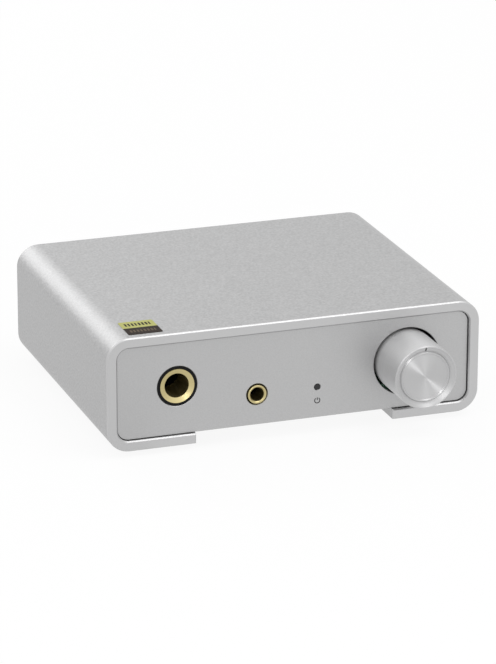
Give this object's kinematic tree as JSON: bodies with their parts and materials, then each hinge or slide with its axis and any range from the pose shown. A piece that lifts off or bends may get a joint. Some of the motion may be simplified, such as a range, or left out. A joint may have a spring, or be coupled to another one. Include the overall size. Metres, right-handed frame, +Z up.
{
  "type": "desktop dac",
  "caption": "Small desktop digital-to-analogue converter and headphone amplifier in a flat aluminium sleeve, with a volume knob, headphone jacks, line outputs and a gain switch.",
  "frame": {"origin": "on the surface that the feet stand on, at the middle of the whole object from the front of the knob to the ends of the rear sockets", "axes": "+X to the right seen from the front, +Y to the back, +Z up; the headphone jacks face -Y"},
  "size_m": [0.1, 0.1022, 0.0317],
  "materials": {
    "anodised_sleeve": "bead-blasted silver anodising",
    "anodised_panel": "fine satin silver anodising",
    "turned_aluminium": "turned and anodised, satin sides",
    "spun_aluminium": "spun face with radial sheen",
    "gold_plate": "polished gold plating",
    "bright_nickel": "bright nickel plating",
    "zinc_steel": "zinc-plated steel sheet",
    "black_screw": "black oxide steel",
    "brass_turned": "turned brass",
    "black_plastic": "moulded black plastic",
    "white_plastic": "white moulded plastic",
    "red_plastic": "red moulded plastic",
    "black_rubber": "moulded rubber",
    "board_laminate": "green solder mask on glass laminate",
    "phenolic": "phenolic board with carbon track",
    "smoked_acrylic": "smoked light pipe",
    "led_lens": "chip LED",
    "foil": "printed metallic foil",
    "black_paint": "dark infill paint",
    "ceramic": "ceramic chip",
    "film_case": "red film capacitor case"
  },
  "bodies": {
    "case": {"board_screws": "zinc_steel", "board_standoffs": "brass_turned", "bottom_plate": "zinc_steel", "ceramic_capacitors": "ceramic", "chassis_screws": "black_screw", "chip_resistors": "ceramic", "clock_oscillators": "bright_nickel", "converter_chip": "black_plastic", "electrolytic_capacitors": "zinc_steel", "feet": "black_rubber", "film_capacitors": "film_case", "foil_label": "foil", "front_panel": "anodised_panel", "gain_switch_housing": "bright_nickel", "gain_switch_terminals": "bright_nickel", "jack_3_5_contacts": "bright_nickel", "jack_3_5_ferrule": "gold_plate", "jack_3_5_housing": "black_plastic", "jack_6_35_contacts": "bright_nickel", "jack_6_35_ferrule": "gold_plate", "jack_6_35_housing": "black_plastic", "led": "led_lens", "light_pipe": "smoked_acrylic", "line_out_bodies": "black_plastic", "line_out_contacts": "gold_plate", "line_out_insulator_left": "white_plastic", "line_out_insulator_right": "red_plastic", "line_out_shells": "gold_plate", "line_out_terminals": "bright_nickel", "main_board": "board_laminate", "opamp_chips": "black_plastic", "output_relay": "black_plastic", "pot_body": "zinc_steel", "pot_bushing": "brass_turned", "pot_power_switch": "black_plastic", "pot_terminals": "bright_nickel", "pot_wafers": "phenolic", "power_inductors": "black_plastic", "rear_panel": "anodised_panel", "rear_panel_screws": "black_screw", "regulator_chips": "black_plastic", "sleeve": "anodised_sleeve", "usb_bridge_chip": "black_plastic", "usb_c_contacts": "gold_plate", "usb_c_shell": "bright_nickel", "usb_c_tongue": "black_plastic"},
    "volume_knob": {"knob_body": "turned_aluminium", "knob_inlay": "spun_aluminium", "knob_pointer": "black_paint", "knob_set_screw": "black_screw", "pot_shaft": "brass_turned", "pot_rotors": "black_plastic"},
    "gain_lever": {"gain_slider": "black_plastic"}
  },
  "joints": [
    {"name": "volume", "type": "hinge", "parent": "case", "child": "volume_knob", "pos_m": [0.03055, -0.0511, 0.01677], "axis": [0, 1, 0], "range_deg": [-150, 150]},
    {"name": "gain", "type": "slide", "parent": "case", "child": "gain_lever", "axis": [1, 0, 0], "range_m": [0, 0.002]}
  ]
}
